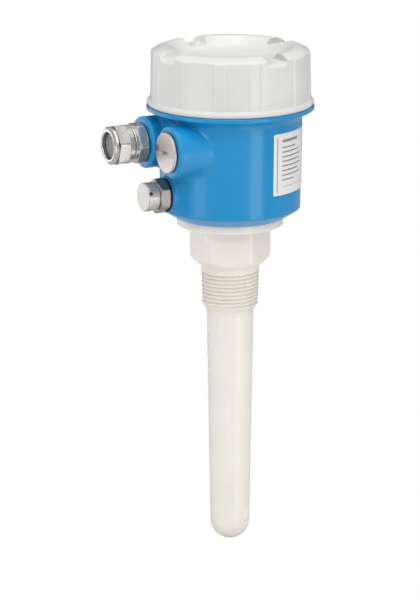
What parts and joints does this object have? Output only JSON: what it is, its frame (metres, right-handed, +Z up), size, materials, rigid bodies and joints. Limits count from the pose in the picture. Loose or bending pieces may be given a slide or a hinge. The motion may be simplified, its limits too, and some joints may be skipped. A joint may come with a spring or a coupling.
{
  "type": "capacitive level switch",
  "caption": "Capacitive level switch: round screw-lid housing with cable gland, blanking plug and vent, on a plastic rod probe with a taper pipe thread.",
  "frame": {"origin": "on the probe's axis, at the gauge plane of its taper pipe thread", "axes": "+Z up the axis towards the lid, -X out of the cable entries"},
  "size_m": [0.1198, 0.0972, 0.2964],
  "materials": {
    "body_coating": "semi-gloss blue powder coat on die-cast aluminium",
    "lid_coating": "semi-gloss pale grey powder coat on die-cast aluminium",
    "probe_plastic": "satin ivory moulded plastic",
    "nickel": "bright nickel plate on brass",
    "elastomer_black": "matt black elastomer",
    "elastomer_grey": "matt grey elastomer",
    "slip_plastic": "natural slip plastic",
    "membrane": "matt white membrane",
    "brass": "turned brass",
    "steel": "zinc plated steel",
    "potting": "dark grey potted plastic",
    "terminal_plastic": "green moulded plastic",
    "switch_plastic": "black moulded plastic",
    "slider_plastic": "white moulded plastic",
    "lamp_green": "clear green lamp",
    "lamp_red": "clear red lamp",
    "plate_foil": "satin pale foil"
  },
  "bodies": {
    "housing_body": {"housing": "body_coating", "nameplate": "plate_foil", "gland_gasket": "elastomer_black", "gland_body": "nickel", "gland_seal": "elastomer_grey", "vent_gasket": "elastomer_black", "vent_body": "nickel", "vent_cap": "nickel", "vent_membrane": "membrane", "probe_sheath": "probe_plastic", "probe_electrode": "brass", "electrode_insulator": "slip_plastic", "guard_electrode": "brass", "probe_contact_pin": "brass", "probe_o_ring": "elastomer_black", "probe_lock_nut": "brass", "electronics_insert": "potting", "insert_screws": "steel", "terminal_block": "terminal_plastic", "terminal_screws": "steel", "failsafe_switch": "switch_plastic", "sensitivity_switch": "switch_plastic", "ready_lamp": "lamp_green", "state_lamp": "lamp_red", "earth_clamp": "steel", "earth_screw": "steel"},
    "lid_seal_body": {"lid_seal": "elastomer_black"},
    "lid_body": {"lid": "lid_coating"},
    "gland_ring_body": {"gland_thrust_ring": "slip_plastic"},
    "gland_nut_body": {"gland_cap_nut": "nickel"},
    "plug_seal_body": {"blanking_plug_seal": "elastomer_black"},
    "plug_body": {"blanking_plug": "nickel"},
    "failsafe_slider_body": {"failsafe_slider": "slider_plastic"},
    "sensitivity_slider_body": {"sensitivity_slider": "slider_plastic"}
  },
  "joints": [
    {"name": "lid_lift", "type": "slide", "parent": "housing_body", "child": "lid_seal_body", "axis": [0, 0, 1], "range_m": [0, 0.00801]},
    {"name": "lid_turn", "type": "hinge", "parent": "lid_seal_body", "child": "lid_body", "pos_m": [0, 0, 0.1087], "axis": [0, 0, 1], "range_deg": [0, 1440]},
    {"name": "gland_nut_travel", "type": "slide", "parent": "housing_body", "child": "gland_ring_body", "axis": [-1, 0, 0], "range_m": [0, 0.00601]},
    {"name": "gland_nut_turn", "type": "hinge", "parent": "gland_ring_body", "child": "gland_nut_body", "pos_m": [-0.064, 0.01665, 0.0873], "axis": [-1, 0, 0], "range_deg": [0, 1440]},
    {"name": "plug_travel", "type": "slide", "parent": "housing_body", "child": "plug_seal_body", "axis": [-1, 0, 0], "range_m": [0, 0.00751]},
    {"name": "plug_turn", "type": "hinge", "parent": "plug_seal_body", "child": "plug_body", "pos_m": [-0.0484, -0.01665, 0.0873], "axis": [-1, 0, 0], "range_deg": [0, 1800]},
    {"name": "failsafe_slide", "type": "slide", "parent": "housing_body", "child": "failsafe_slider_body", "axis": [0, 1, 0], "range_m": [0, 0.003]},
    {"name": "sensitivity_slide", "type": "slide", "parent": "housing_body", "child": "sensitivity_slider_body", "axis": [0, 1, 0], "range_m": [0, 0.003]}
  ],
  "couplings": [
    {"joint": "lid_lift", "follows": "lid_turn", "m_per_rad": 0.00031831},
    {"joint": "gland_nut_travel", "follows": "gland_nut_turn", "m_per_rad": 0.00023873},
    {"joint": "plug_travel", "follows": "plug_turn", "m_per_rad": 0.00023873}
  ]
}
